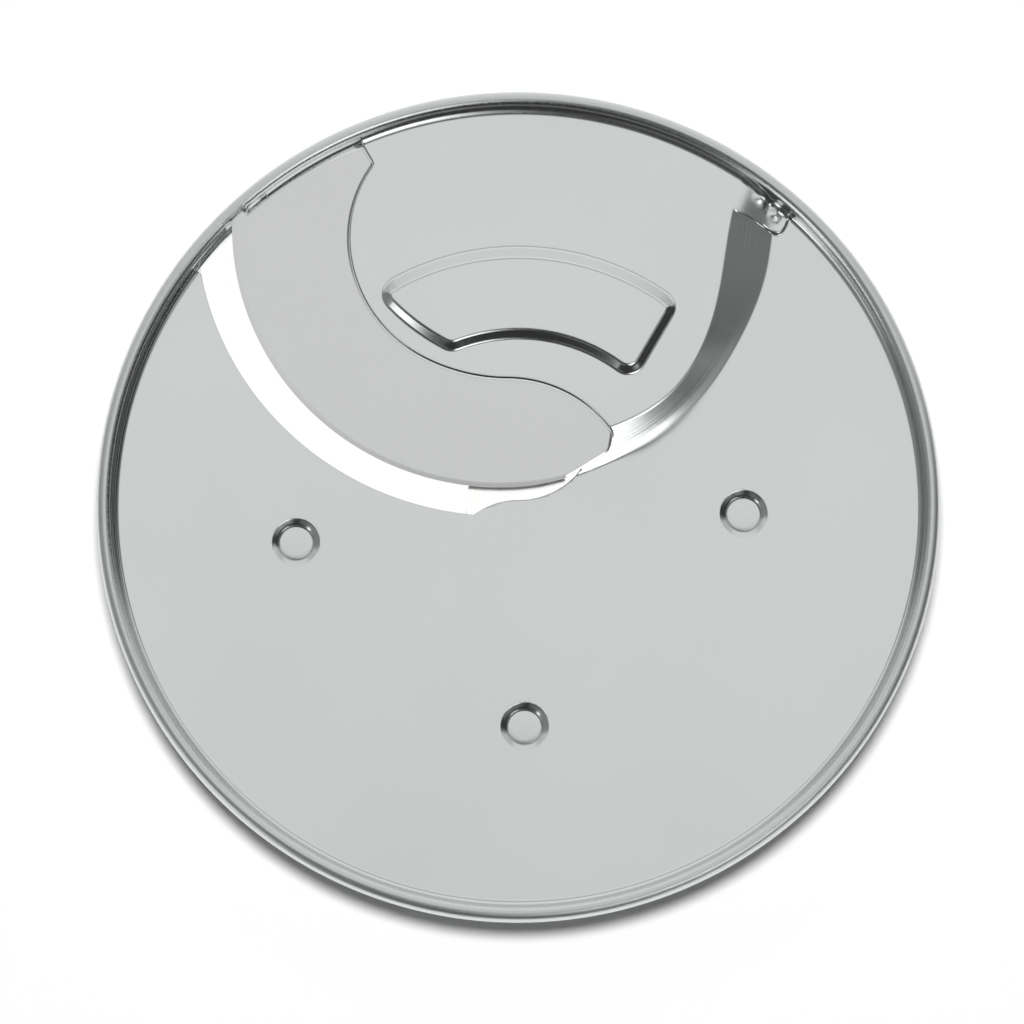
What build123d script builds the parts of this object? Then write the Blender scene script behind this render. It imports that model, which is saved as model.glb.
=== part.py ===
from build123d import *
import math
import os

# Pressed plate
disc_radius = 100.0          # outside of the rolled rim
sheet = 1.0                  # steel thickness
plate_top = 16.0             # top of the main plate above the hub's foot

# Rolled rim: a wall turned up from the plate and over into a half-round bead
bead_width = 3.75
bead_height = 5.0            # crest above the main plate
foot_bend = 1.6              # inside radius where the wall leaves the plate
skirt_depth = 4.0            # outer lip, down from the crest of the bead
crown_steps = 6              # flat steps that the bead and the bends are made of
lining_steps = 2
bend_steps = 2

# Raised plateau behind the blade, and the ramp down from it
plateau_rise = 3.0
plateau_bend = 1.2           # inside radius where the wall leaves the plateau
ramp_top = [(49.8, 63.3), (46.9, 46.8), (36.6, 26.6)]
ramp_top_rim_angle = 56.0    # degrees from +X, where the fold meets the rim
ramp_foot = [(60.0, 58.0), (53.5, 40.7), (33.7, 16.6)]
ramp_foot_rim_angle = 49.5
ramp_end_angle = 281.4       # where ramp and slot meet, seen from the cutting edge's centre

# Blade: a long arc for the cutting edge, a wavy back edge and a tab in the rim
blade_thickness = 1.0
blade_gap = 0.25             # seam between the blade and the plateau
edge_center = (-4.4, 67.4)
edge_radius = 64.2
edge_inner_angle = 273.4     # end of the long arc, close to the axis
edge_heel = (11.5, 5.6)
heel_corner = (21.6, 11.9)
back_tip = (22.4, 16.5)
back_tip_angle = 125.0
back_wave = [(-2.6, 29.6), (-22.2, 34.4), (-40.3, 60.0), (-35.5, 81.2)]
back_end_angle = 120.0
tip_round = 2.6
back_end_round = 1.2
blade_end_center = (-8.5, 2.5)
blade_end_gap = 0.7          # to the rim's wall, beside the tab
grind_width = 6.0            # bevel under the cutting edge
grind_land = 0.15            # steel left at the cutting edge
hone_width = 1.2             # fine bevel on top of the cutting edge
hone_drop = 0.1

# Tab of the blade and its notch through the rim's inner wall
tab_width = 4.45             # along the rim, from the cutting edge's outer end
notch_reach = 1.9            # along the rim, past the cutting edge's outer end
notch_depth = 1.3
notch_clearance = 0.3

# Feed slot in front of the blade
slot_center = (-3.7, 70.3)
slot_radius = 73.8
slot_corner = (-10.6, -2.8)
slot_tongue = (0.0, 0.7)
slot_inner_end = (15.1, 8.4)
slot_end_round = 0.8
slot_rim_round = 1.5
slot_rim_land = 0.8          # plate left between slot and rim wall
blade_overhang = 9.0         # cutting edge in front of its shelf
shelf_corner_angle = 282.0   # end of the shelf's edge, seen from the edge's centre

# Stiffening emboss on the plateau
emboss_rise = 1.5
emboss_wall = 2.0            # width of its sloping wall, between the middles of its bends
emboss_inner_radius = 38.9
emboss_outer_radius = 62.3
emboss_right_inner_angle = 45.2    # degrees from +X, corners before rounding
emboss_right_outer_angle = 50.8
emboss_left_inner_angle = 114.2
emboss_left_outer_angle = 124.6
emboss_left_bow_angle = 122.45     # where the curved left side crosses the middle radius
emboss_corner = 3.8
emboss_bend = 0.5            # half width of those bends, at the foot and the top of the wall

# Rivets in dimples
rivet_pitch_radius = 53.6
rivet_angles = [190.2, 271.6, 357.2]
dimple_radius = 6.6
dimple_depth = 1.9
dimple_bend = 1.8
rivet_head_radius = 3.95
rivet_head_height = 0.7
rivet_shank_radius = 2.0
rivet_clearance = 0.1
rivet_tail_radius = 3.4
rivet_tail_height = 1.2

# Hub under the plate: a boss on the axis and a T-shaped channel out to the rivets
boss_radius = 12.5
boss_chamfer = 1.2
socket_radius = 6.5
socket_cap = 1.6             # plastic left over the socket
drive_notch_width = 4.0
drive_notch_depth = 4.0
drive_notch_reach = 9.5
pad_radius = 7.0
arm_width = 8.0
arm_top = 10.0
arm_bottom = 3.0
arm_web = 2.4
arm_rib = 2.0

# Sizes that follow from those above
wall_radius = disc_radius - bead_width
plate_radius = wall_radius - foot_bend
bead_round = bead_width / 2
crest = plate_top + bead_height
edge_rim_angle = math.degrees(math.acos((edge_center[0] - edge_radius) / wall_radius))
tab_start_angle = edge_rim_angle - math.degrees(tab_width / wall_radius)
notch_start_angle = tab_start_angle - math.degrees(notch_clearance / wall_radius)
notch_end_angle = edge_rim_angle + math.degrees(notch_reach / wall_radius)
plate_bottom = plate_top - sheet
plateau_top = plate_top + plateau_rise
shelf_top = plateau_top - blade_thickness
dimple_floor = plate_top - dimple_depth
pad_top = dimple_floor - sheet
tail_top = arm_top - arm_web
below = plate_bottom - 2 * sheet
above = crest + bead_height
outside = 1.15 * disc_radius


def polar(radius, angle):
    return (radius * math.cos(math.radians(angle)), radius * math.sin(math.radians(angle)))


def around(center, radius, angle):
    x, y = polar(radius, angle)
    return (center[0] + x, center[1] + y)


def bend(center, radius, start, end, steps):
    # A round bend in equal flat steps, as points from one end to the other
    return [around(center, radius, start + (end - start) * i / steps) for i in range(steps + 1)]


def prism(face, bottom, top):
    return extrude(Pos(0, 0, bottom) * face, amount=top - bottom)


def arc_between(radius, start, end):
    return CenterArc((0, 0), radius, start, end - start)


def wedge(radius, start, end):
    # Part of a round disc between two angles
    arc = arc_between(radius, start, end)
    return make_face(Curve() + [arc, Line(arc @ 1, (0, 0)), Line((0, 0), arc @ 0)])


def spin(section, start, end):
    # A section drawn as radius and height, turned about +Z from one angle to another
    return Rot(0, 0, start) * revolve(Plane.XZ * section, Axis.Z, end - start)


def round_corners(face, corners, radius):
    picked = []
    for x, y in corners:
        picked.append(min(face.vertices(), key=lambda v: math.hypot(v.X - x, v.Y - y)))
    return fillet(picked, radius)


def blade_outline():
    # The whole blade in plan, running on past the rim at its outer end
    edge = CenterArc(edge_center, edge_radius, 180, edge_inner_angle - 180)
    run_in = Line(((edge @ 0).X, outside), edge @ 0)
    inner = TangentArc(edge @ 1, edge_heel, tangent=edge % 1)
    heel = Line(inner @ 1, heel_corner)
    nose = Line(heel @ 1, back_tip)
    back = [TangentArc(back_tip, back_wave[0], tangent=polar(1, back_tip_angle))]
    for point in back_wave[1:]:
        back.append(TangentArc(back[-1] @ 1, point, tangent=back[-1] % 1))
    run_out = Line(back_wave[-1], around(back_wave[-1], outside - rim_reach(), back_end_angle))
    close = Line(run_out @ 1, run_in @ 0)
    outline = make_face(Curve() + [run_in, edge, inner, heel, nose, *back, run_out, close])
    outline = round_corners(outline, [heel_corner, back_tip], tip_round)
    return round_corners(outline, [back_wave[-1]], back_end_round)


def rim_reach():
    # Distance of the blade's back corner from the axis
    return math.hypot(*back_wave[-1])


def back_rim_angle():
    # Where the blade's back edge would meet the rim's wall
    x, y = around(back_wave[-1], wall_radius - rim_reach(), back_end_angle)
    return math.degrees(math.atan2(y, x))


def blade_plan():
    # Outline cut off along the rim, with the tab left long enough to enter the notch
    end_radius = math.dist(polar(wall_radius - blade_end_gap, tab_start_angle), blade_end_center)
    end = Pos(*blade_end_center) * Circle(end_radius)
    tab = wedge(wall_radius + notch_depth - notch_clearance, tab_start_angle, notch_end_angle)
    return blade_outline() & (end + tab)


def edge_ring(*section):
    # A ring about the centre of the cutting edge, from points of radius and height
    return Pos(*edge_center) * revolve(Plane.XZ * make_face(Polyline(*section, close=True)), Axis.Z)


def slicing_blade():
    blade = prism(blade_plan(), shelf_top, plateau_top)
    tip = edge_radius + sheet
    edge_top = plateau_top - hone_drop
    edge_bottom = edge_top - grind_land
    heel = edge_radius - grind_width
    crown = edge_radius - hone_width
    grind = edge_ring((heel, shelf_top), (tip, shelf_top), (tip, edge_bottom), (edge_radius, edge_bottom))
    hone = edge_ring((crown, plateau_top), (tip, plateau_top), (tip, edge_top), (edge_radius, edge_top))
    return blade - grind - hone


def slot_plan():
    # Open from the front edge back to the shelf that carries the blade
    front = CenterArc(slot_center, slot_radius, 180, 1)
    run_in = Line(((front @ 0).X, outside), front @ 0)
    edge = TangentArc(front @ 0, slot_corner, tangent=(0, -1))
    tongue = TangentArc(slot_tongue, slot_corner, tangent=(-1, 0))
    inner = TangentArc(slot_tongue, slot_inner_end, tangent=(1, 0))
    shelf = CenterArc(edge_center, edge_radius - blade_overhang, 180, shelf_corner_angle - 180)
    end = Line(slot_inner_end, shelf @ 1)
    run_out = Line(shelf @ 0, ((shelf @ 0).X, outside))
    close = Line(run_out @ 1, run_in @ 0)
    outline = make_face(Curve() + [run_in, edge, tongue, inner, end, shelf, run_out, close])
    outline = round_corners(outline, [slot_inner_end], slot_end_round)
    plan = outline & Circle(wall_radius - slot_rim_land)
    return fillet(plan.vertices().sort_by(Axis.X)[0], slot_rim_round)


def plateau_outline(fold, rim_angle):
    # Plan of the plateau at one level: a fold of the ramp, the slot and the rim
    edge = CenterArc(edge_center, edge_radius, ramp_end_angle, 180 - ramp_end_angle)
    ramp = Spline(polar(outside, rim_angle), polar(wall_radius, rim_angle), *fold, edge @ 0)
    run = Line(edge @ 1, ((edge @ 1).X, outside))
    close = ThreePointArc(run @ 1, (0, outside + disc_radius), ramp @ 0)
    return make_face(Curve() + [ramp, edge, run, close])


def plateau():
    foot = Pos(0, 0, plate_top) * plateau_outline(ramp_foot, ramp_foot_rim_angle)
    top = Pos(0, 0, plateau_top) * plateau_outline(ramp_top, ramp_top_rim_angle)
    return loft([foot, top], ruled=True)


def emboss_plan(inset):
    outer = arc_between(emboss_outer_radius, emboss_right_outer_angle, emboss_left_outer_angle)
    inner = arc_between(emboss_inner_radius, emboss_right_inner_angle, emboss_left_inner_angle)
    bow = polar((emboss_inner_radius + emboss_outer_radius) / 2, emboss_left_bow_angle)
    left = ThreePointArc(outer @ 1, bow, inner @ 1)
    right = Line(inner @ 0, outer @ 0)
    outline = make_face(Curve() + [outer, left, inner, right])
    return offset(fillet(outline.vertices(), emboss_corner), -inset)


def emboss():
    # Low frustum standing on the plateau, bent at the foot and the top of its wall
    lift = emboss_rise * emboss_bend / emboss_wall
    steps = [(0, 0), (2 * emboss_bend, lift)]
    steps += [(emboss_wall, emboss_rise - lift), (emboss_wall + 2 * emboss_bend, emboss_rise)]
    return loft([Pos(0, 0, plateau_top + rise) * emboss_plan(inset) for inset, rise in steps], ruled=True)


def skin(raised_radius, drop, seam):
    # Everything under one face of the pressed sheet, which lies a drop below the upper face
    raised = plateau() & prism(Circle(raised_radius), below, above)
    solid = prism(Circle(plate_radius), below, plate_top) + raised + emboss()
    shelf = offset(blade_outline(), seam) & Circle(raised_radius)
    return Pos(0, 0, -drop) * (solid - prism(shelf, shelf_top, above))


def rim_section():
    foot = (plate_radius, plate_top + foot_bend)
    crown = (wall_radius + bead_round, crest - bead_round)
    lip = crest - skirt_depth
    return make_face(Polyline(
        *bend(foot, foot_bend, -90, 0, bend_steps),
        *bend(crown, bead_round, 180, 0, crown_steps),
        (disc_radius, lip), (disc_radius - sheet, lip),
        *bend(crown, bead_round - sheet, 0, 180, lining_steps),
        *bend(foot, foot_bend + sheet, 0, -90, bend_steps), close=True))


def wall_bend(level, radius):
    # Concave bend between a raised level and the rim's wall
    root = wall_radius + sheet / 2
    inside = (wall_radius - radius, level + radius)
    return make_face(Polyline(
        *bend(inside, radius, 0, -90, bend_steps), (inside[0], level - sheet / 2),
        (root, level - sheet / 2), (root, inside[1]), close=True))


def dimple_section():
    hole = rivet_shank_radius + rivet_clearance
    wall = dimple_radius - dimple_bend
    edge = dimple_radius + sheet
    return make_face(Polyline(
        *bend((dimple_radius, plate_top - dimple_bend), dimple_bend, 90, 180, bend_steps),
        (wall, dimple_floor), (hole, dimple_floor), (hole, pad_top), (wall, pad_top),
        (edge, plate_bottom), (edge, plate_top), close=True))


def disc_plate():
    plate = skin(wall_radius + sheet / 2, 0, blade_gap) + spin(rim_section(), 0, 360)
    plate += spin(wall_bend(plateau_top, plateau_bend), ramp_top_rim_angle, back_rim_angle())
    plate += spin(wall_bend(shelf_top, blade_end_gap / 2), back_rim_angle(), tab_start_angle)
    plate -= skin(wall_radius + sheet, sheet, blade_gap + sheet)
    plate -= prism(slot_plan(), below, above)
    notch = wedge(wall_radius + notch_depth, notch_start_angle, notch_end_angle)
    plate -= prism(notch - Circle(wall_radius - slot_rim_land), shelf_top - notch_clearance, above)
    plate -= at_rivets(prism(Circle(dimple_radius + sheet), below, above))
    return plate + at_rivets(revolve(Plane.XZ * dimple_section(), Axis.Z))


def rivet():
    head_top = dimple_floor + rivet_head_height
    end = tail_top - rivet_tail_height
    section = Polyline(
        (0, head_top), (rivet_head_radius, head_top), (rivet_head_radius, dimple_floor),
        (rivet_shank_radius, dimple_floor), (rivet_shank_radius, tail_top),
        (rivet_tail_radius, tail_top), (rivet_shank_radius, end), (0, end), close=True)
    return revolve(Plane.XZ * make_face(section), Axis.Z)


def rivet_places():
    return [polar(rivet_pitch_radius, angle) for angle in rivet_angles]


def at_rivets(shape):
    return [Pos(*place) * shape for place in rivet_places()]


def hub_rivets():
    return Compound(children=at_rivets(rivet()))


def bar(start, end):
    # Straight arm in plan, from one point to another
    x, y = end[0] - start[0], end[1] - start[1]
    middle = Pos(start[0] + x / 2, start[1] + y / 2)
    return middle * Rot(0, 0, math.degrees(math.atan2(y, x))) * Rectangle(math.hypot(x, y), arm_width)


def hub_arms():
    # Channel open below: a bar between the outer rivets, a leg to the third, and a pad under each
    left, front, right = rivet_places()
    outline = bar(left, right) + bar((0, 0), front) + at_rivets(Circle(pad_radius))
    arms = prism(outline, arm_bottom, arm_top) - prism(offset(outline, -arm_rib), arm_bottom, tail_top)
    return arms + at_rivets(prism(Circle(pad_radius), tail_top, pad_top))


def hub():
    boss = prism(Circle(boss_radius), 0, plate_bottom)
    body = chamfer(boss.edges().group_by(Axis.Z)[0], boss_chamfer) + hub_arms()
    body -= at_rivets(prism(Circle(rivet_shank_radius + rivet_clearance), 0, pad_top))
    body -= prism(Circle(socket_radius), 0, plate_bottom - socket_cap)
    keys = Rectangle(2 * drive_notch_reach, drive_notch_width)
    return body - prism(keys, 0, drive_notch_depth)


os.makedirs("parts", exist_ok=True)
for name, shape in {
    "disc_plate": disc_plate(),
    "slicing_blade": slicing_blade(),
    "hub_rivets": hub_rivets(),
    "hub": hub(),
}.items():
    shape.label = name
    export_step(shape, os.path.join("parts", name + ".step"))
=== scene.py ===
import math

import bpy
import numpy as np
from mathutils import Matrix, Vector
from mathutils.geometry import delaunay_2d_cdt


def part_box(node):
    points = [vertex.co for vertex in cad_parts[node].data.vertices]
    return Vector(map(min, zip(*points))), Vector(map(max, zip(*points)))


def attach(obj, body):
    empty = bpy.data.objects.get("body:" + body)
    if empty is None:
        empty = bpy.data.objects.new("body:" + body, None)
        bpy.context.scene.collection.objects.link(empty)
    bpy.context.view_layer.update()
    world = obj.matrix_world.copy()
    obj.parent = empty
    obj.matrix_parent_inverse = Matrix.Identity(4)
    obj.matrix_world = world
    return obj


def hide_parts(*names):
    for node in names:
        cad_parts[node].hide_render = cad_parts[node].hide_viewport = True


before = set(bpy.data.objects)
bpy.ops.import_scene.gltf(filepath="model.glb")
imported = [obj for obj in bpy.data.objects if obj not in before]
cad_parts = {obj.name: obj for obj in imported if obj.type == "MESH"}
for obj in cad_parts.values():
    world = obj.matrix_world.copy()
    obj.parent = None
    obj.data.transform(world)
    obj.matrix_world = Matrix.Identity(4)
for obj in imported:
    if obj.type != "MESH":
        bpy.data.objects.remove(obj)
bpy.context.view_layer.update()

MM = 0.001

# Driving sizes of the disc in millimetres
plate_low, plate_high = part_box("disc_plate")
disc_radius = min(plate_high.x, plate_high.y, -plate_low.x, -plate_low.y) / MM - 0.001
crest = plate_high.z / MM - 0.001
sheet = 1.0
bead_height = 5.0
bead_width = 3.75
skirt_depth = 4.0
foot_bend = 1.6
plateau_rise = 3.0
plateau_bend = 3.0
lip_round = 0.15

# Folds of the ramp between plateau and plate
ramp_top = [49.8 + 63.3j, 46.9 + 46.8j, 36.6 + 26.6j]
ramp_top_rim_angle = 56.0
ramp_foot = [60.0 + 58.0j, 53.5 + 40.7j, 33.7 + 16.6j]
ramp_foot_rim_angle = 49.5
ramp_end_angle = 281.4
ramp_bend = 0.45
ramp_wide_bend = 2.2
ramp_wide_from = (20, 32)
ramp_wide_to = (36, 54)

# Shoulder beside the rim at the ramp's upper end, with the place, width and height of each wrinkle
shoulder_edge = [44.0 + 74.0j, 50.3 + 71.2j, 56.4 + 68.6j, 60.4 + 66.2j, 62.6 + 65.7j, 64.0 + 67.2j,
                 65.2 + 70.5j]
shoulder_bend = 0.4
shoulder_fall = 2.6
shoulder_fall_end = 180
wrinkles = [(58.6 + 74.0j, 1.5, 0.4), (61.9 + 70.3j, 1.3, 0.4), (60.0 + 72.2j, 1.0, -0.3)]

# Blade
blade_thickness = 1.0
blade_gap = 0.15
edge_center = -4.4 + 67.4j
edge_radius = 64.2
edge_inner_angle = 273.4
edge_heel = 11.5 + 5.6j
heel_corner = 21.6 + 11.9j
back_tip = 22.4 + 16.5j
back_tip_angle = 125.0
back_wave = [-2.6 + 29.6j, -22.2 + 34.4j, -40.3 + 60.0j, -34.8 + 82.2j]
back_end_angle = 120.0
tip_round = 2.6
back_end_round = 1.2
blade_end_center = -5.5 + 1.8j
blade_end_gap = 0.7
end_wall_drop = 0.5
end_wall_reach = 1.05
grind_width = 6.0
grind_land = 0.15
hone_width = 1.2
hone_drop = 0.1
blade_chamfer = 0.5
blade_chamfer_slope = 0.36
seam_round = 0.3
tab_width = 4.45
notch_reach = 1.9
notch_depth = 1.3
notch_clearance = 0.3

# Feed slot
slot_center = -3.7 + 70.3j
slot_radius = 73.8
slot_corner = -10.6 - 2.8j
slot_tongue = 0.0 + 0.7j
slot_inner_end = 15.1 + 8.4j
slot_end_round = 0.8
slot_rim_land = 0.8
slot_edge_round = 0.2
blade_overhang = 9.0
shelf_corner_angle = 282.0

# Emboss on the plateau
emboss_rise = 1.5
emboss_wall = 1.8
emboss_outer_wall = 3.1
emboss_inner_radius = 38.9
emboss_outer_radius = 62.3
emboss_right_inner_angle = 45.2
emboss_right_outer_angle = 50.8
emboss_left_inner_angle = 114.2
emboss_left_outer_angle = 124.6
emboss_left_bow_angle = 122.45
emboss_corner = 4.8
emboss_bend = 0.5

# Rivets and their dimples
rivet_pitch_radius = 53.6
rivet_angles = [190.2, 271.6, 357.2]
dimple_radius = 5.8
dimple_depth = 1.9
dimple_floor_radius = 4.02
dimple_profile = [(5.8, 0), (5.68, 0.02), (5.55, 0.085), (5.2, 0.27), (4.9, 0.43), (4.6, 0.59), (4.45, 0.69),
                  (4.3, 0.82), (4.15, 0.98), (4.02, 1.9)]
rivet_head_radius = 3.95
rivet_head_height = 0.7
rivet_face_radius = 2.6
rivet_face_rise = 0.03
rivet_round = 0.12
rivet_shank_radius = 2.0
rivet_clearance = 0.1
rivet_tail_radius = 3.4
rivet_tail_height = 1.2
arm_web_bottom = 7.6

# Fineness of the meshes
row_step = 1.0
rim_columns = 480

# Sizes that follow
plate_top = crest - bead_height
plateau_top = plate_top + plateau_rise
shelf_top = plateau_top - blade_thickness
wall_radius = disc_radius - bead_width
plate_radius = wall_radius - foot_bend
flat_radius = plate_radius - 0.25
land_radius = wall_radius - slot_rim_land
bead_round = bead_width / 2
crown_radius = wall_radius + bead_round
crown_level = crest - bead_round
dimple_floor = plate_top - dimple_depth
edge_rim_angle = math.degrees(math.acos((edge_center.real - edge_radius) / wall_radius))
tab_start_angle = edge_rim_angle - math.degrees(tab_width / wall_radius)
blade_end_reach = abs(wall_radius - blade_end_gap
                      - blade_end_center * np.exp(-1j * math.radians(tab_start_angle)))
notch_start_angle = tab_start_angle - math.degrees(notch_clearance / wall_radius)
notch_end_angle = edge_rim_angle + math.degrees(notch_reach / wall_radius)
outside = 1.4 * disc_radius
rivet_places = [rivet_pitch_radius * np.exp(1j * math.radians(a)) for a in rivet_angles]


# Plan curves, as complex numbers x + iy

def polar(radius, angle):
    return radius * np.exp(1j * np.radians(angle))


def line(start, end, step=row_step):
    return np.linspace(start, end, max(2, int(abs(end - start) / step) + 1))


def arc(center, radius, start, end, step=row_step):
    count = max(4, int(abs(math.radians(end - start)) * radius / step) + 1)
    return center + polar(radius, np.linspace(start, end, count))


def circle(center, radius, count):
    return center + polar(radius, np.arange(count) * 360 / count)


def tangent_arc(start, heading, end, step=row_step):
    # Arc that leaves start along heading and reaches end, with the heading it arrives on
    normal = 1j * heading / abs(heading)
    chord = end - start
    radius = abs(chord) ** 2 / (2 * (np.conj(normal) * chord).real)
    center = start + radius * normal
    sweep = np.angle((end - center) / (start - center))
    if sweep * radius < 0:
        sweep += 2 * math.pi * np.sign(radius)
    count = max(4, int(abs(sweep * radius) / step) + 1)
    points = center + (start - center) * np.exp(1j * np.linspace(0, sweep, count))
    return points, heading * np.exp(1j * sweep)


def spline(points, step=row_step):
    # Natural cubic curve through the points
    points = np.array(points, complex)
    gap = np.abs(np.diff(points))
    knots = np.concatenate([[0], np.cumsum(gap)])
    n = len(points)
    system = np.eye(n)
    right = np.zeros(n, complex)
    slopes = np.diff(points) / gap
    for i in range(1, n - 1):
        system[i, i - 1:i + 2] = gap[i - 1], 2 * (gap[i - 1] + gap[i]), gap[i]
        right[i] = 6 * (slopes[i] - slopes[i - 1])
    curve = np.linalg.solve(system, right)
    t = np.linspace(0, knots[-1], int(knots[-1] / step) + 1)
    k = np.clip(np.searchsorted(knots, t) - 1, 0, n - 2)
    a, b = knots[k + 1] - t, t - knots[k]
    h = gap[k]
    bow = (curve[k] * (a ** 3 / h - a * h) + curve[k + 1] * (b ** 3 / h - b * h)) / 6
    return (points[k] * a + points[k + 1] * b) / h + bow


def join(*pieces):
    points = np.concatenate(pieces)
    keep = np.abs(np.diff(points, append=points[:1])) > 1e-6
    return points[keep]


def shifted(points, distance, closed=True):
    # The curve moved to its left
    if closed:
        along = np.roll(points, -1) - np.roll(points, 1)
    else:
        along = np.gradient(points)
    return points + distance * 1j * along / np.abs(along)


def crossing(first, second):
    # First point where two curves cross
    p, d = first[:-1, None], np.diff(first)[:, None]
    q, e = second[None, :-1], np.diff(second)[None, :]
    cross = (np.conj(d) * e).imag
    cross = np.where(np.abs(cross) < 1e-12, 1e-12, cross)
    s = (np.conj(q - p) * e).imag / cross
    t = (np.conj(q - p) * d).imag / cross
    hit = np.argwhere((s >= 0) & (s <= 1) & (t >= 0) & (t <= 1))
    i, j = hit[0]
    return first[i] + s[i, j] * d[i, 0]


def nearest(points, place):
    d = np.diff(points)
    t = np.clip((np.conj(d) * (place - points[:-1])).real / np.abs(d) ** 2, 0, 1)
    foot = points[:-1] + t * d
    k = int(np.argmin(np.abs(foot - place)))
    return k, foot[k]


def rounded(first, second, radius):
    # Two curves that meet in a corner, joined there by a round
    turn = (np.conj(first[-1] - first[-2]) * (second[1] - second[0])).imag
    side = radius * np.sign(turn)
    center = crossing(shifted(first, side, False)[::-1], shifted(second, side, False))
    i, start = nearest(first, center)
    j, end = nearest(second, center)
    sweep = np.angle((end - center) / (start - center))
    steps = np.exp(1j * np.linspace(0, sweep, 9))
    return np.concatenate([first[:i + 1], center + (start - center) * steps, second[j + 1:]])


def outline_of_blade():
    fine = 0.4
    edge = arc(edge_center, edge_radius, 180, edge_inner_angle)
    run_in = line(complex(edge[0].real, outside), edge[0])
    heading = 1j * polar(1, edge_inner_angle)
    inner, heading = tangent_arc(edge[-1], heading, edge_heel, fine)
    heel = line(edge_heel, heel_corner, fine)
    nose = line(heel_corner, back_tip, fine)
    back, heading = tangent_arc(back_tip, polar(1, back_tip_angle), back_wave[0], fine)
    wave = [back]
    for point in back_wave[1:]:
        piece, heading = tangent_arc(wave[-1][-1], heading, point, fine)
        wave.append(piece)
    run_out = line(back_wave[-1], back_wave[-1] + polar(outside, back_end_angle), fine)
    tip = rounded(rounded(heel, nose, tip_round), wave[0], tip_round)
    back = rounded(join(tip, *wave[1:]), run_out, back_end_round)
    return join(run_in, edge, inner, back)


def outline_of_slot():
    edge, _ = tangent_arc(slot_center - slot_radius, -1j, slot_corner)
    tongue, _ = tangent_arc(slot_tongue, -1, slot_corner, 0.5)
    inner, _ = tangent_arc(slot_tongue, 1, slot_inner_end, 0.5)
    shelf = arc(edge_center, edge_radius - blade_overhang, 180, shelf_corner_angle)
    end = line(slot_inner_end, shelf[-1], 0.5)
    tail = rounded(inner, end, slot_end_round)
    run_in = line(complex(edge[0].real, outside), edge[0])
    run_out = line(shelf[0], complex(shelf[0].real, outside))
    return join(run_in, edge, tongue[::-1], tail, shelf[::-1], run_out)


def outline_of_plateau(fold, rim_angle, radius, end_angle):
    end = edge_center + polar(radius, end_angle)
    ramp = spline([polar(outside, rim_angle), polar(wall_radius, rim_angle), *fold, end])
    edge = arc(edge_center, radius, end_angle, 180)
    corner = complex(edge[-1].real, outside)
    return join(ramp, edge, line(edge[-1], corner), [complex(0, 3 * outside)])


def outline_of_emboss():
    outer = arc(0, emboss_outer_radius, emboss_right_outer_angle, emboss_left_outer_angle, 0.6)
    inner = arc(0, emboss_inner_radius, emboss_left_inner_angle, emboss_right_inner_angle, 0.6)
    bow = polar((emboss_inner_radius + emboss_outer_radius) / 2, emboss_left_bow_angle)
    chord = inner[0] - outer[-1]
    out = ((bow - outer[-1]) / chord).real
    sag = ((bow - outer[-1]) / chord).imag
    t = np.linspace(0, 1, int(abs(chord) / 0.6))
    left = outer[-1] + chord * (t + 1j * sag * t * (1 - t) / (out * (1 - out)))
    right = line(inner[-1], outer[0], 0.6)
    shape = rounded(outer, left, emboss_corner)
    shape = rounded(shape, inner, emboss_corner)
    shape = rounded(shape, right, emboss_corner)
    turned = np.roll(shape[:-1], len(shape) // 2)
    cut = int(np.argmin(np.abs(turned - outer[0])))
    return join(rounded(turned[:cut + 1], turned[cut:], emboss_corner))


def outline_of_shoulder():
    return join(spline(shoulder_edge, 0.4), [polar(outside, 40), polar(outside, 70)])


def inside_distance(points, outline):
    # Distance to a closed outline, positive inside it
    result = np.empty(len(points))
    a, b = outline, np.roll(outline, -1)
    d = b - a
    length = np.abs(d) ** 2
    for start in range(0, len(points), 4000):
        p = points[start:start + 4000, None]
        t = np.clip((np.conj(d) * (p - a)).real / length, 0, 1)
        away = np.abs(a + t * d - p).min(1)
        spans = (a.imag > p.imag) != (b.imag > p.imag)
        rise = np.where(np.abs(d.imag) < 1e-12, 1e-12, d.imag)
        cut = a.real + (p.imag - a.imag) * d.real / rise
        odd = (spans & (p.real < cut)).sum(1) % 2 == 1
        result[start:start + 4000] = np.where(odd, away, -away)
    return result


def distance_to(points, row):
    # Distance to an open row
    a, d = row[:-1], np.diff(row)
    p = points[:, None]
    t = np.clip((np.conj(d) * (p - a)).real / np.abs(d) ** 2, 0, 1)
    return np.abs(a + t * d - p).min(1)




blade_line = outline_of_blade()
slot_line = outline_of_slot()
foot_line = outline_of_plateau(ramp_foot, ramp_foot_rim_angle, edge_radius, ramp_end_angle)
top_line = outline_of_plateau(ramp_top, ramp_top_rim_angle, edge_radius - blade_overhang, shelf_corner_angle)
emboss_line = outline_of_emboss()
shoulder_line = outline_of_shoulder()


# Heights of the sheet's two faces

def soft(distance, width):
    # Flat on one side of a fold and rising on the other, with a bend between
    bend = (distance + width) ** 2 / (4 * width)
    return np.where(distance <= -width, 0, np.where(distance >= width, distance, bend))


def quarter(distance, radius):
    # Drop of a rounded edge at a distance from it
    t = np.clip(1 - distance / radius, 0, 1)
    return radius * (1 - np.sqrt(1 - t ** 2))


def ease(value, start, end):
    t = np.clip((value - start) / (end - start), 0, 1)
    return t * t * (3 - 2 * t)


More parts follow.
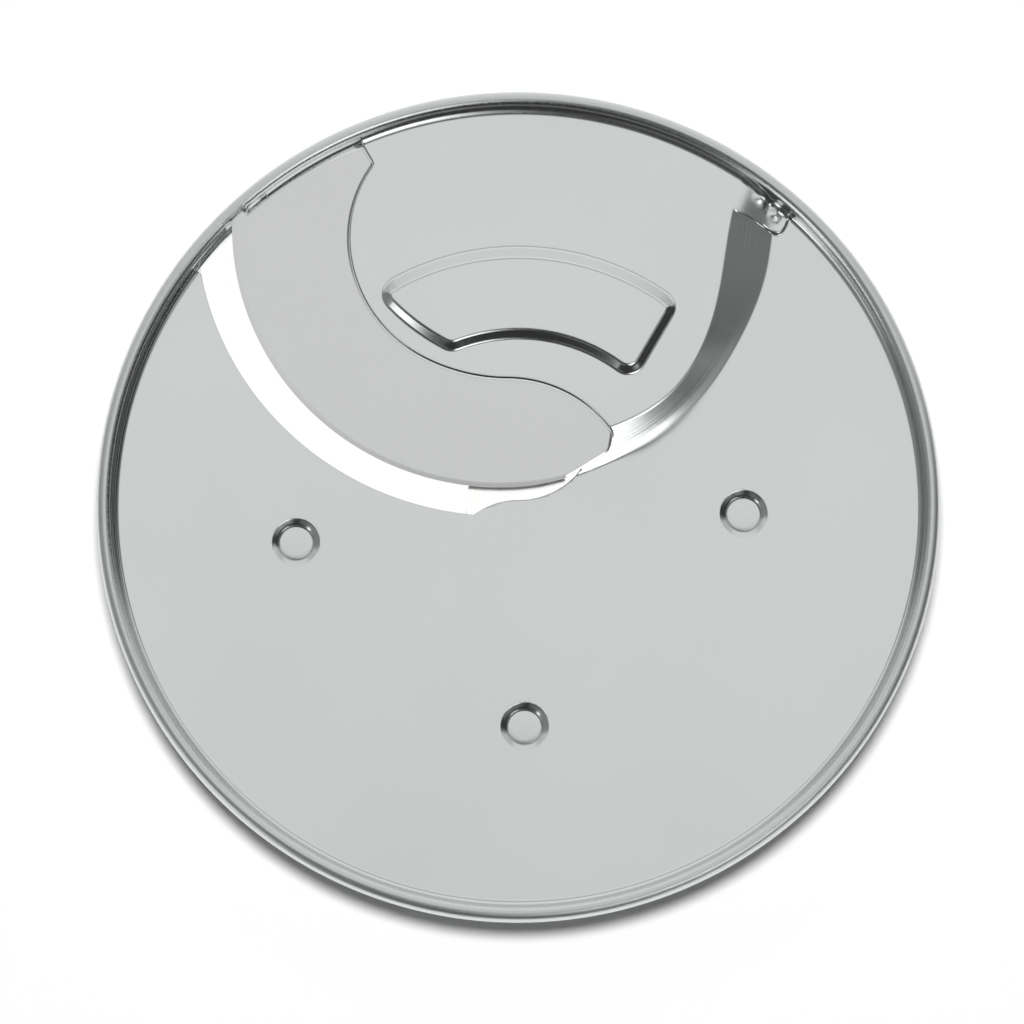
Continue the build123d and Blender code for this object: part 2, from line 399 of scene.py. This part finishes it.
def ramp_rise(points):
    foot = inside_distance(points, foot_line)
    top = inside_distance(points, top_line)
    wide = ease(points.real, *ramp_wide_from) * (1 - ease(points.real, *ramp_wide_to))
    bend = ramp_bend + (ramp_wide_bend - ramp_bend) * wide
    slope = plateau_rise / np.maximum(foot - top, 0.4)
    return np.clip(slope * (soft(foot, bend) - soft(top, ramp_bend)), 0, plateau_rise)


def base_level(points):
    rise = ramp_rise(points)
    inset = inside_distance(points, shoulder_line)
    start = shoulder_edge[1]
    along = (np.conj(shoulder_edge[4] - start) * (points - start)).real
    along = ease(along, 0, shoulder_fall_end)
    shoulder = ease(inset, -shoulder_bend, shoulder_bend)
    rise = np.maximum(rise, (plateau_rise - shoulder_fall * along) * shoulder)
    for place, width, height in wrinkles:
        rise = rise + height * np.exp(-(np.abs(points - place) / width) ** 2)
    inset = inside_distance(points, emboss_line)
    outer = np.exp(-((emboss_outer_radius - np.abs(points) - inset) / 0.8) ** 2)
    width = emboss_wall + (emboss_outer_wall - emboss_wall) * outer
    wall = soft(inset - emboss_bend, emboss_bend) - soft(inset - emboss_bend - width, emboss_bend)
    return plate_top + rise + emboss_rise / width * wall


def blade_end(points):
    # Distance inside the blade's outer end, where it stops short of the rim
    end = blade_end_reach - np.abs(points - blade_end_center)
    angle = np.degrees(np.angle(points)) % 360
    tab = wall_radius + notch_depth - notch_clearance - np.abs(points)
    tab = np.minimum(tab, np.radians(angle - tab_start_angle) * np.abs(points))
    return np.maximum(end, np.where(angle < 180, tab, -1))


def ramp_place(points):
    # Distance up the ramp from its foot, and how far a point is on it
    foot = inside_distance(points, foot_line)
    top = inside_distance(points, top_line)
    on_ramp = ease(foot, 0.3, 1.0) * (1 - ease(top, -1.0, -0.3))
    on_ramp = on_ramp * (1 - ease(inside_distance(points, shoulder_line), -2.0, -0.8))
    return np.clip(foot, 0, 14), on_ramp


def upper_face(points):
    level = base_level(points)
    seam = -inside_distance(points, blade_line)
    seam = np.maximum(seam, -blade_end(points))
    recess = seam < blade_gap - 0.008
    edge = np.minimum(quarter(seam - blade_gap, seam_round), np.maximum(level - shelf_top, 0))
    level = np.where(recess, np.minimum(level, shelf_top), level - edge)
    slot = -inside_distance(points, slot_line)
    level = level - quarter(np.maximum(slot, 0), slot_edge_round)
    for place in rivet_places:
        r = np.abs(points - place)
        radii, depths = np.array(dimple_profile[::-1]).T
        level = np.where(r < dimple_radius, plate_top - np.interp(r, radii, depths), level)
    return level


def lower_face(points):
    level = base_level(points)
    seam = -inside_distance(points, blade_line)
    level = np.where(seam < blade_gap + sheet - 0.008, np.minimum(level, shelf_top), level) - sheet
    for place in rivet_places:
        r = np.abs(points - place)
        t = np.clip((r - dimple_floor_radius) / (dimple_radius + sheet - dimple_floor_radius), 0, 1)
        level = np.where(r < dimple_radius + sheet, dimple_floor - sheet + t * dimple_depth, level)
    return level


# Meshes

def mesh_object(name, points, faces):
    mesh = bpy.data.meshes.new(name)
    mesh.from_pydata([Vector(p) * MM for p in points], [], faces)
    mesh.validate()
    mesh.shade_smooth()
    mesh.set_sharp_from_angle(angle=math.radians(38))
    piece = bpy.data.objects.new(name, mesh)
    bpy.context.scene.collection.objects.link(piece)
    even = piece.modifiers.new("even_shading", "WEIGHTED_NORMAL")
    even.keep_sharp = True
    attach(piece, "root")
    return piece


def plan_mesh(rows, inside):
    # Triangles in plan between rows of points, kept where inside says so
    points, edges = [], []
    for row, closed in rows:
        first = len(points)
        points += [Vector((p.real, p.imag)) for p in row]
        if closed is None:
            continue
        edges += [(first + i, first + i + 1) for i in range(len(row) - 1)]
        if closed:
            edges.append((len(points) - 1, first))
    found = delaunay_2d_cdt(points, edges, [], 0, 1e-5)
    plan = np.array([complex(v.x, v.y) for v in found[0]])
    triangles = np.array(found[2])
    kept = triangles[inside(plan[triangles].mean(1))]
    used = np.unique(kept)
    number = np.full(len(plan), -1)
    number[used] = np.arange(len(used))
    return plan[used], number[kept]


def open_edges(triangles):
    # Directed edges that only one triangle has
    edges = {}
    for a, b, c in triangles.tolist():
        for edge in ((a, b), (b, c), (c, a)):
            if edge[::-1] in edges:
                del edges[edge[::-1]]
            else:
                edges[edge] = True
    return list(edges)


def counter_clockwise(plan, triangles):
    a, b, c = plan[triangles].T
    turn = (np.conj(b - a) * (c - a)).imag
    flipped = triangles.copy()
    flipped[turn < 0] = flipped[turn < 0][:, ::-1]
    return flipped


def clipped(row, keep):
    # The stretches of a row where keep is true
    pieces, current = [], []
    for point, wanted in zip(row, keep):
        if wanted:
            current.append(point)
        elif current:
            pieces.append(current)
            current = []
    if current:
        pieces.append(current)
    return [(np.array(p), False) for p in pieces if len(p) > 1]


def offset_rows(outline, distances, slot_margin=2.0):
    # Rows beside an outline, left out where the plate is open or ends
    rows = []
    for distance in distances:
        row = shifted(outline, distance)
        row = np.append(row, row[0])
        keep = np.abs(row) < wall_radius
        keep &= inside_distance(row, slot_line) < slot_margin
        rows += clipped(row, keep)
    return rows


def plate_rows():
    rows = [(circle(0, flat_radius, rim_columns), True)]
    rows += offset_rows(slot_line, [0, -0.06, -slot_edge_round])
    seam = [blade_gap - 0.016, blade_gap, blade_gap + 0.08, blade_gap + 0.2, blade_gap + seam_round]
    seam += [blade_gap + sheet - 0.016, blade_gap + sheet]
    rows += offset_rows(blade_line, [-d for d in seam])
    for d in (blade_gap - 0.016, blade_gap, blade_gap + 0.08, blade_gap + seam_round):
        end = arc(blade_end_center, blade_end_reach + d, 95, 150, 0.5)
        rows += clipped(end, np.abs(end) < flat_radius)
    bends = np.array([-1, -0.5, 0, 0.5, 1])
    wide_bends = np.array([-1, -0.6, 0.6, 1, 1.4])
    rows += offset_rows(foot_line, np.concatenate([ramp_bend * bends, ramp_wide_bend * wide_bends]))
    rows += offset_rows(shoulder_line, shoulder_bend * bends)
    rows += offset_rows(top_line, ramp_bend * bends)
    insets = np.concatenate([emboss_bend * (1 + bends), emboss_wall + emboss_bend * (1 + bends)])
    rows += offset_rows(emboss_line, insets)
    rows += offset_rows(emboss_line, emboss_outer_wall + emboss_bend * (1 + bends))
    radii = [dimple_radius + sheet, rivet_shank_radius + rivet_clearance]
    radii += [r for r, _ in dimple_profile]
    for place in rivet_places:
        rows += [(circle(place, r, 64), True) for r in radii]
    rows.append((shoulder_grid(), None))
    return rows


def shoulder_grid():
    # Close points where the sheet is wrinkled at the ramp's upper end
    x, y = np.meshgrid(np.arange(48, 70, 0.4), np.arange(62, 78, 0.4))
    points = (x + 1j * y).ravel()
    inset = inside_distance(points, shoulder_line)
    return points[(np.abs(points) < flat_radius - 0.3) & (inset > -2.5) & (np.abs(inset) > 0.6)]


def plate_inside(points):
    keep = np.abs(points) < flat_radius
    keep &= inside_distance(points, slot_line) < 0
    for place in rivet_places:
        keep &= np.abs(points - place) > rivet_shank_radius + rivet_clearance
    return keep


def rim_profile(level, bend, in_notch, shelf_end):
    # Radius and height of the rim's rows, from the plate's upper face round to its lower face
    reach = level + bend - crown_level
    if reach > 0:
        center = crown_radius - math.sqrt((bead_round + bend) ** 2 - reach ** 2)
        end = -math.degrees(math.asin(reach / (bead_round + bend)))
    else:
        center, end = wall_radius - bend, 0
    high = level + bend
    start = -math.degrees(math.acos(np.clip((land_radius - center) / bend, 0, 1)))
    radii = [flat_radius + 0.01, plate_radius, (plate_radius + land_radius) / 2, land_radius]
    if shelf_end:
        radii = [radii[0], (radii[0] + shelf_end) / 2, shelf_end - 0.005, shelf_end + 0.005]
        start = -math.degrees(math.acos(np.clip((shelf_end - center) / bend, 0, 1)))
    rows = []
    for r in radii:
        on_shelf = r < shelf_end
        rows.append((r, shelf_top if on_shelf else high - math.sqrt(bend ** 2 - max(0, r - center) ** 2)))
    for a in np.linspace(start, end, 9)[1:]:
        p = polar(bend, a)
        rows.append((center + p.real, high + p.imag))
    cut = shelf_top - notch_clearance
    rows.append((wall_radius, max(cut, high)) if end == 0 else rows[-1])
    if in_notch:
        rows = [(r, min(z, cut)) for r, z in rows]
        rows[-1] = (wall_radius + notch_depth, cut)
    crown = np.linspace(180 + end, 0, 19)
    for a in crown:
        p = polar(bead_round, a)
        r = crown_radius + p.real
        z = crown_level + p.imag
        if in_notch:
            r = max(r, wall_radius + notch_depth)
        rows.append((r, z))
    lip = crest - skirt_depth
    rows += [(disc_radius, lip + lip_round), (disc_radius - 0.3 * lip_round, lip + 0.3 * lip_round)]
    rows += [(disc_radius - lip_round, lip), (disc_radius - sheet + lip_round, lip)]
    rows += [(disc_radius - sheet, lip + lip_round)]
    for a in np.linspace(0, 180 + end, 9):
        p = polar(bead_round - sheet, a)
        rows.append((crown_radius + p.real, crown_level + p.imag))
    low = bend + sheet
    if shelf_end:
        radii = [radii[0], (radii[0] + shelf_end) / 2, shelf_end + 0.75 * sheet, shelf_end + 0.8 * sheet]
    start = -math.degrees(math.acos(np.clip((radii[3] - center) / low, 0, 1)))
    for a in np.linspace(end, start, 7)[:-1]:
        p = polar(low, a)
        rows.append((center + p.real, high + p.imag))
    for i, r in reversed(list(enumerate(radii))):
        under_shelf = shelf_end and i < 3
        z = high - math.sqrt(low ** 2 - max(0, r - center) ** 2)
        rows.append((r, shelf_top - sheet if under_shelf else z))
    return rows


def make_plate():
    plan, triangles = plan_mesh(plate_rows(), plate_inside)
    triangles = counter_clockwise(plan, triangles)
    count = len(plan)
    top, low = upper_face(plan), lower_face(plan)
    points = [(p.real, p.imag, z) for p, z in zip(plan, top)]
    points += [(p.real, p.imag, z) for p, z in zip(plan, low)]
    faces = triangles.tolist() + (triangles[:, ::-1] + count).tolist()
    on_rim = np.abs(np.abs(plan) - flat_radius) < 0.003
    rim_edges = []
    for a, b in open_edges(triangles):
        if on_rim[a] and on_rim[b]:
            rim_edges.append((a, b))
        else:
            faces.append([b, a, a + count, b + count])
    angle = np.degrees(np.angle(plan)) % 360
    columns = [(angle[i], int(i)) for i in np.nonzero(on_rim)[0]]
    filled = sorted(angle[i] for e in rim_edges for i in e)
    gaps = [(a, b) for a, b in zip(filled, filled[1:]) if b - a > 3]
    slot_from, slot_to = gaps[0]
    span = int((slot_to - slot_from) * rim_columns / 360)
    columns += [(a, None) for a in np.linspace(slot_from, slot_to, span + 1)[1:-1]]
    columns += [(a, None) for a in (notch_start_angle, notch_end_angle)]
    columns.sort(key=lambda c: c[0])
    strips = []
    for a, index in columns:
        place = polar(flat_radius, a)
        if index is not None:
            level = top[index]
        else:
            level = shelf_top if a < notch_start_angle else plate_top
        share = np.clip((level - plate_top) / plateau_rise, 0, 1)
        bend = foot_bend + (plateau_bend - foot_bend) * share
        shelf_end = 0
        if abs(level - shelf_top) < 0.02 and inside_distance(np.array([place]), blade_line)[0] > -blade_gap:
            bend = plateau_bend
            level = plateau_top - end_wall_drop
            turn = blade_end_center * np.exp(-1j * math.radians(a))
            shelf_end = turn.real + math.sqrt((blade_end_reach + blade_gap) ** 2 - turn.imag ** 2)
            shelf_end = max(shelf_end, wall_radius - end_wall_reach)
        notched = notch_start_angle <= a <= notch_end_angle
        if notched and (a == notch_start_angle or a == notch_end_angle):
            pair = [False, True] if a == notch_start_angle else [True, False]
        else:
            pair = [notched]
        for in_notch in pair:
            first = len(points)
            rows = rim_profile(level, bend, in_notch, shelf_end)
            way = polar(1, a)
            points += [(r * way.real, r * way.imag, z) for r, z in rows]
            strips.append((a, index, first, len(rows)))
    land = 3
    for k, (a, index, first, size) in enumerate(strips):
        b, other, second, _ = strips[(k + 1) % len(strips)]
        in_slot = slot_from - 1e-9 <= a < b <= slot_to + 1e-9
        open_here = in_slot or index is None and other is None
        lowest, highest = (land, size - land - 1) if open_here else (0, size - 1)
        for i in range(lowest, highest):
            faces.append([first + i, second + i, second + i + 1, first + i + 1][::-1])
        if open_here:
            faces.append([first + land, second + land, second + size - land - 1, first + size - land - 1])
            if index is not None:
                for i in range(land):
                    faces.append([first + i, first + i + 1, first + size - 2 - i, first + size - 1 - i])
            if other is not None:
                for i in range(land):
                    faces.append([second + i + 1, second + i, second + size - 1 - i, second + size - 2 - i])
        elif index is not None and other is not None:
            faces.append([index, first, second, other][::-1])
            faces.append([first + size - 1, index + count, other + count, second + size - 1][::-1])
    piece = mesh_object("plate", points, faces)
    for name, values in zip(("across_ramp", "on_ramp"), ramp_place(plan)):
        held = piece.data.attributes.new(name, "FLOAT", "POINT")
        everywhere = np.zeros(len(points), np.float32)
        everywhere[:count] = values
        held.data.foreach_set("value", everywhere)
    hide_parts("disc_plate")
    return piece


def make_blade():
    tab_end = wall_radius + notch_depth - notch_clearance
    rows = []
    for inset in (0, blade_chamfer - 0.1, blade_chamfer, blade_chamfer + 0.1):
        outline = shifted(blade_line, inset)
        rows += clipped(outline, np.abs(outline) < disc_radius)
        rows.append((arc(blade_end_center, blade_end_reach - inset, 95, 150, 0.6), False))
        tab = polar(1, tab_start_angle)
        start = polar(wall_radius - 3, tab_start_angle) + 1j * tab * inset
        rows.append((line(start, start + 6 * tab, 0.4), False))
        rows.append((arc(0, tab_end - inset, tab_start_angle - 1, notch_end_angle + 1, 0.4), False))
    for radius in (edge_radius - hone_width, edge_radius - grind_width):
        for shift in (-0.1, 0.1):
            rows.append((arc(edge_center, radius + shift, 160, 310), False))

    def inside(points):
        return (inside_distance(points, blade_line) > 0) & (blade_end(points) > 0)

    plan, triangles = plan_mesh(rows, inside)
    triangles = counter_clockwise(plan, triangles)
    count = len(plan)
    along = np.abs(plan - edge_center)
    back = blade_line[int(np.argmin(np.abs(blade_line - edge_heel))):]
    inset = np.minimum(distance_to(plan, back), np.abs(blade_end(plan)))
    hone = hone_drop / hone_width * soft(along - edge_radius + hone_width, 0.1)
    top = plateau_top - hone - blade_chamfer_slope * soft(blade_chamfer - inset, 0.1)
    depth = blade_thickness - hone_drop - grind_land
    low = shelf_top + depth / grind_width * soft(along - edge_radius + grind_width, 0.1)
    low = np.minimum(low, top - 0.1)
    points = [(p.real, p.imag, z) for p, z in zip(plan, top)]
    points += [(p.real, p.imag, z) for p, z in zip(plan, low)]
    faces = triangles.tolist() + (triangles[:, ::-1] + count).tolist()
    for a, b in open_edges(triangles):
        faces.append([b, a, a + count, b + count])
    piece = mesh_object("blade", points, faces)
    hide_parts("slicing_blade")
    return piece


def make_rivets():
    head = dimple_floor + rivet_head_height
    face = head - rivet_face_rise
    end = arm_web_bottom - rivet_tail_height
    profile = [(0, head), (rivet_face_radius - 0.2, head), (rivet_face_radius + 0.2, face),
               (rivet_head_radius - rivet_round, face)]
    for a in (67, 45, 22, 0):
        p = polar(rivet_round, a)
        profile.append((rivet_head_radius - rivet_round + p.real, face - rivet_round + p.imag))
    profile += [(rivet_head_radius, dimple_floor), (rivet_shank_radius, dimple_floor),
                (rivet_shank_radius, arm_web_bottom), (rivet_tail_radius, arm_web_bottom)]
    profile += [(rivet_tail_radius - 0.3, arm_web_bottom - 0.3), (rivet_shank_radius, end), (0, end)]
    columns = 48
    points, faces = [], []
    for place in rivet_places:
        first = len(points)
        for r, z in profile[1:-1]:
            points += [(p.real, p.imag, z) for p in circle(place, r, columns)]
        top, bottom = len(points), len(points) + 1
        points += [(place.real, place.imag, head), (place.real, place.imag, end)]
        last = first + (len(profile) - 3) * columns
        for i in range(columns):
            j = (i + 1) % columns
            faces.append([top, first + i, first + j])
            faces.append([bottom, last + j, last + i])
            for row in range(len(profile) - 3):
                a = first + row * columns
                faces.append([a + j, a + i, a + columns + i, a + columns + j])
    piece = mesh_object("rivets", points, faces)
    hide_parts("hub_rivets")
    return piece


# Materials

def material(name):
    made = bpy.data.materials.new(name)
    made.use_nodes = True
    nodes = made.node_tree.nodes
    return made, nodes, made.node_tree.links, nodes["Principled BSDF"]


def ramp_node(nodes, links, source, low, high, start=0.3, end=0.7):
    node = nodes.new("ShaderNodeMapRange")
    node.inputs["From Min"].default_value = start
    node.inputs["From Max"].default_value = end
    node.inputs["To Min"].default_value = low
    node.inputs["To Max"].default_value = high
    links.new(source, node.inputs["Value"])
    return node.outputs["Result"]


def noise_node(nodes, links, source, scale, detail=3.0):
    node = nodes.new("ShaderNodeTexNoise")
    node.inputs["Scale"].default_value = scale
    node.inputs["Detail"].default_value = detail
    links.new(source, node.inputs["Vector"])
    return node.outputs["Fac"]


def steel(name, color, roughness, grain, rim_roughness=None):
    made, nodes, links, shader = material(name)
    place = nodes.new("ShaderNodeTexCoord").outputs["Object"]
    cloud = noise_node(nodes, links, place, 22, 2)
    fine = noise_node(nodes, links, place, 1500, 2)
    tint = nodes.new("ShaderNodeMix")
    tint.data_type = "RGBA"
    tint.inputs["A"].default_value = (*[c * 0.975 for c in color], 1)
    tint.inputs["B"].default_value = (*color, 1)
    links.new(ramp_node(nodes, links, cloud, 0, 1), tint.inputs["Factor"])
    links.new(tint.outputs["Result"], shader.inputs["Base Color"])
    rough = ramp_node(nodes, links, fine, roughness - 0.015, roughness + 0.015)
    if rim_roughness:
        flat = nodes.new("ShaderNodeVectorMath")
        flat.operation = "MULTIPLY"
        flat.inputs[1].default_value = (1, 1, 0)
        links.new(place, flat.inputs[0])
        radius = nodes.new("ShaderNodeVectorMath")
        radius.operation = "LENGTH"
        links.new(flat.outputs["Vector"], radius.inputs[0])
        scuffed = ramp_node(nodes, links, fine, rim_roughness - 0.02, rim_roughness + 0.02)
        at_rim = ramp_node(nodes, links, radius.outputs["Value"], 0, 1,
                           wall_radius * MM, (crown_radius + 0.4) * MM)
        blend = nodes.new("ShaderNodeMix")
        links.new(at_rim, blend.inputs["Factor"])
        links.new(rough, blend.inputs["A"])
        links.new(scuffed, blend.inputs["B"])
        rough = blend.outputs["Result"]
    links.new(rough, shader.inputs["Roughness"])
    bump = nodes.new("ShaderNodeBump")
    bump.inputs["Strength"].default_value = grain
    bump.inputs["Distance"].default_value = 0.00002
    links.new(fine, bump.inputs["Height"])
    if rim_roughness:
        across = nodes.new("ShaderNodeAttribute")
        across.attribute_name = "across_ramp"
        on_ramp = nodes.new("ShaderNodeAttribute")
        on_ramp.attribute_name = "on_ramp"
        lines = nodes.new("ShaderNodeTexNoise")
        lines.noise_dimensions = "1D"
        lines.inputs["Scale"].default_value = 2.2
        lines.inputs["Detail"].default_value = 3.0
        links.new(across.outputs["Fac"], lines.inputs["W"])
        streaks = nodes.new("ShaderNodeBump")
        streaks.inputs["Distance"].default_value = 0.00004
        links.new(ramp_node(nodes, links, on_ramp.outputs["Fac"], 0, 0.5, 0, 1), streaks.inputs["Strength"])
        links.new(lines.outputs["Fac"], streaks.inputs["Height"])
        links.new(streaks.outputs["Normal"], bump.inputs["Normal"])
    links.new(bump.outputs["Normal"], shader.inputs["Normal"])
    shader.inputs["Metallic"].default_value = 1.0
    return made


def plastic(name, color):
    made, nodes, links, shader = material(name)
    place = nodes.new("ShaderNodeTexCoord").outputs["Object"]
    cloud = noise_node(nodes, links, place, 60, 3)
    fine = noise_node(nodes, links, place, 2500, 2)
    tint = nodes.new("ShaderNodeMix")
    tint.data_type = "RGBA"
    tint.inputs["A"].default_value = (*[c * 0.97 for c in color], 1)
    tint.inputs["B"].default_value = (*color, 1)
    links.new(ramp_node(nodes, links, cloud, 0, 1), tint.inputs["Factor"])
    links.new(tint.outputs["Result"], shader.inputs["Base Color"])
    links.new(ramp_node(nodes, links, fine, 0.42, 0.5), shader.inputs["Roughness"])
    bump = nodes.new("ShaderNodeBump")
    bump.inputs["Strength"].default_value = 0.25
    bump.inputs["Distance"].default_value = 0.00003
    links.new(fine, bump.inputs["Height"])
    links.new(bump.outputs["Normal"], shader.inputs["Normal"])
    return made


def paint(piece, made):
    piece.data.materials.clear()
    piece.data.materials.append(made)


# Stage

floor_radius = 4.0
floor_sides = 64
floor_white = 0.93


def make_floor():
    mesh = bpy.data.meshes.new("floor")
    ring = circle(0, floor_radius, floor_sides)
    mesh.from_pydata([(p.real, p.imag, 0) for p in ring], [], [list(range(floor_sides))])
    floor = bpy.data.objects.new("floor", mesh)
    bpy.context.scene.collection.objects.link(floor)
    made, nodes, links, shader = material("floor_white")
    nodes.remove(shader)
    diffuse = nodes.new("ShaderNodeBsdfDiffuse")
    diffuse.inputs["Color"].default_value = (floor_white, floor_white, floor_white, 1)
    # Emission for the painted glow on the floor under the feed slot
    painted_glow = nodes.new("ShaderNodeEmission")
    seen = nodes.new("ShaderNodeLightPath")
    both = nodes.new("ShaderNodeMath")
    both.operation = "MAXIMUM"
    links.new(seen.outputs["Is Camera Ray"], both.inputs[0])
    links.new(seen.outputs["Is Glossy Ray"], both.inputs[1])
    all_seen = nodes.new("ShaderNodeMath")
    all_seen.operation = "MAXIMUM"
    links.new(both.outputs[0], all_seen.inputs[0])
    links.new(seen.outputs["Is Transmission Ray"], all_seen.inputs[1])
    place = nodes.new("ShaderNodeTexCoord").outputs["Object"]

    def round_mask(center, radius, soft_edge, invert):
        away = nodes.new("ShaderNodeVectorMath")
        away.operation = "DISTANCE"
        away.inputs[1].default_value = (center.real * MM, center.imag * MM, 0)
        links.new(place, away.inputs[0])
        low, high = (0, 1) if invert else (1, 0)
        return ramp_node(nodes, links, away.outputs["Value"], low, high,
                         (radius - soft_edge) * MM, (radius + soft_edge) * MM)

    # Painted light: a crescent of floor under the feed slot, shifted by the camera's lean and limited to the
    # disc, glows white as emission to camera, glossy and transmission rays. It lies in the disc's shadow and
    # no lamp lights it. Outside this patch the diffuse floor keeps the shadow.
    lean = 1j * plate_top * math.tan(camera_lean)
    painted_glow_crescent = nodes.new("ShaderNodeMath")
    painted_glow_crescent.operation = "MULTIPLY"
    links.new(round_mask(slot_center + lean, slot_radius + 1.5, 1, False), painted_glow_crescent.inputs[0])
    links.new(round_mask(edge_center + lean, edge_radius - 2.5, 1, True), painted_glow_crescent.inputs[1])
    painted_glow_patch = nodes.new("ShaderNodeMath")
    painted_glow_patch.operation = "MULTIPLY"
    links.new(painted_glow_crescent.outputs[0], painted_glow_patch.inputs[0])
    links.new(round_mask(0j, disc_radius, 2, False), painted_glow_patch.inputs[1])
    share = nodes.new("ShaderNodeMath")
    share.operation = "MULTIPLY"
    links.new(all_seen.outputs[0], share.inputs[0])
    links.new(painted_glow_patch.outputs[0], share.inputs[1])
    mix = nodes.new("ShaderNodeMixShader")
    links.new(share.outputs[0], mix.inputs["Fac"])
    links.new(diffuse.outputs[0], mix.inputs[1])
    links.new(painted_glow.outputs[0], mix.inputs[2])
    links.new(mix.outputs[0], nodes["Material Output"].inputs["Surface"])
    mesh.materials.append(made)


# Softboxes of the studio, seen from the disc: azimuth from the front and elevation in degrees, brightness
softboxes = [
    (12, 57, 49, 73, 2.0),
    (-46, -16, 34, 58, 0.14),
    (26, 56, -6, 19, 1.05),
    (45, 82, 40, 78, 0.34),
    (60, 125, 46, 80, 0.15),
    (-125, -60, 10, 80, 0.24),
    (-58, -46, 12, 36, 1.8),
    (-75, -40, -6, 10, 1.3),
    (-180, 180, -6, 7, 0.25),
]
softbox_edge = 4
overhead_level = 0.81
back_level = 0.74
back_low_level = 0.5
back_box_level = 1.1
back_box_span = (33, 46)
overhead_half_width = 0.4
dark_level = 0.03
fill_share = 0.3


def make_world():
    world = bpy.data.worlds.new("studio")
    bpy.context.scene.world = world
    world.use_nodes = True
    nodes, links = world.node_tree.nodes, world.node_tree.links
    sky = nodes["Background"]
    way = nodes.new("ShaderNodeTexCoord").outputs["Generated"]
    split = nodes.new("ShaderNodeSeparateXYZ")
    links.new(way, split.inputs[0])
    x, y, z = split.outputs

    def math_node(operation, first, second=None):
        node = nodes.new("ShaderNodeMath")
        node.operation = operation
        for value, socket in ((first, node.inputs[0]), (second, node.inputs[1])):
            if isinstance(value, (int, float)):
                socket.default_value = value
            elif value is not None:
                links.new(value, socket)
        return node.outputs[0]

    def step(value, start, end, low=0.0, high=1.0):
        node = nodes.new("ShaderNodeMapRange")
        node.interpolation_type = "SMOOTHSTEP"
        node.inputs["From Min"].default_value = start
        node.inputs["From Max"].default_value = end
        node.inputs["To Min"].default_value = low
        node.inputs["To Max"].default_value = high
        links.new(value, node.inputs["Value"])
        return node.outputs["Result"]

    def span(value, low, high, edge):
        return math_node("MULTIPLY", step(value, low - edge, low + edge),
                         step(value, high - edge, high + edge, 1, 0))

    degrees = 180 / math.pi
    azimuth = math_node("MULTIPLY", math_node("ARCTAN2", x, math_node("MULTIPLY", y, -1.0)), degrees)
    elevation = math_node("MULTIPLY", math_node("ARCSINE", z), degrees)
    overhead = math_node("MULTIPLY", span(x, -overhead_half_width, overhead_half_width, 0.06),
                         step(y, -0.06, 0.04, 0, overhead_level))
    overhead = math_node("MULTIPLY", overhead, step(y, 0.38, 0.5, 1, 0))
    back = math_node("MAXIMUM", step(y, 0.32, 0.46, 0, back_low_level), step(y, 0.66, 0.84, 0, back_level))
    total = math_node("ADD", math_node("MAXIMUM", overhead, back), dark_level)
    back_box = math_node("MULTIPLY", span(elevation, *back_box_span, softbox_edge),
                         step(y, 0.2, 0.4, 0, back_box_level))
    total = math_node("MAXIMUM", total, back_box)
    for left, right, low, high, level in softboxes:
        shape = math_node("MULTIPLY", span(azimuth, left, right, softbox_edge),
                          span(elevation, low, high, softbox_edge))
        total = math_node("MAXIMUM", total, math_node("MULTIPLY", shape, level))
    seen = nodes.new("ShaderNodeLightPath")
    links.new(total, sky.inputs["Color"])
    links.new(step(seen.outputs["Is Diffuse Ray"], 0, 1, 1.0, fill_share), sky.inputs["Strength"])


def make_lamp(name, lean, size, watts):
    # Overhead lamp for the floor and the plastic; the steel mirrors the softboxes instead
    light = bpy.data.lights.new(name, "AREA")
    light.shape = "DISK"
    light.size = size
    light.energy = watts
    lamp = bpy.data.objects.new(name, light)
    lamp.location = (0, lamp_height * math.sin(lean), lamp_height * math.cos(lean))
    lamp.rotation_euler = (-lean, 0, 0)
    lamp.visible_glossy = False
    lamp.visible_camera = False
    bpy.context.scene.collection.objects.link(lamp)


lamp_height = 1.6
key_lean = math.radians(1)
key_size = 0.3
key_watts = 23.5

# Camera at the photograph's place, over the front of the disc
camera_lean = math.radians(10.6)
camera_distance = 1.136
frame_pixels = 1024
focal_pixels = 4781.0
disc_middle_pixel = (518.3, 502.8)


def make_camera():
    lens = bpy.data.cameras.new("camera")
    lens.sensor_width = 36
    lens.lens = 36 * focal_pixels / frame_pixels
    lens.shift_x = (frame_pixels / 2 - disc_middle_pixel[0]) / frame_pixels
    lens.shift_y = (disc_middle_pixel[1] - frame_pixels / 2) / frame_pixels
    camera = bpy.data.objects.new("camera", lens)
    camera.location = (0, -camera_distance * math.sin(camera_lean),
                       plate_top * MM + camera_distance * math.cos(camera_lean))
    camera.rotation_euler = (camera_lean, 0, 0)
    bpy.context.scene.collection.objects.link(camera)
    bpy.context.scene.camera = camera


paint(make_plate(), steel("plate_satin", (0.745, 0.77, 0.763), 0.2, 0.04, 0.38))
paint(make_blade(), steel("blade_ground", (0.735, 0.748, 0.742), 0.22, 0.04))
paint(make_rivets(), steel("rivet_satin", (0.77, 0.785, 0.78), 0.24, 0.04))
paint(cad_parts["hub"], plastic("hub_white", (0.95, 0.95, 0.94)))
make_floor()
make_world()
make_lamp("key", key_lean, key_size, key_watts)
make_camera()
bpy.context.scene.view_settings.view_transform = "Standard"
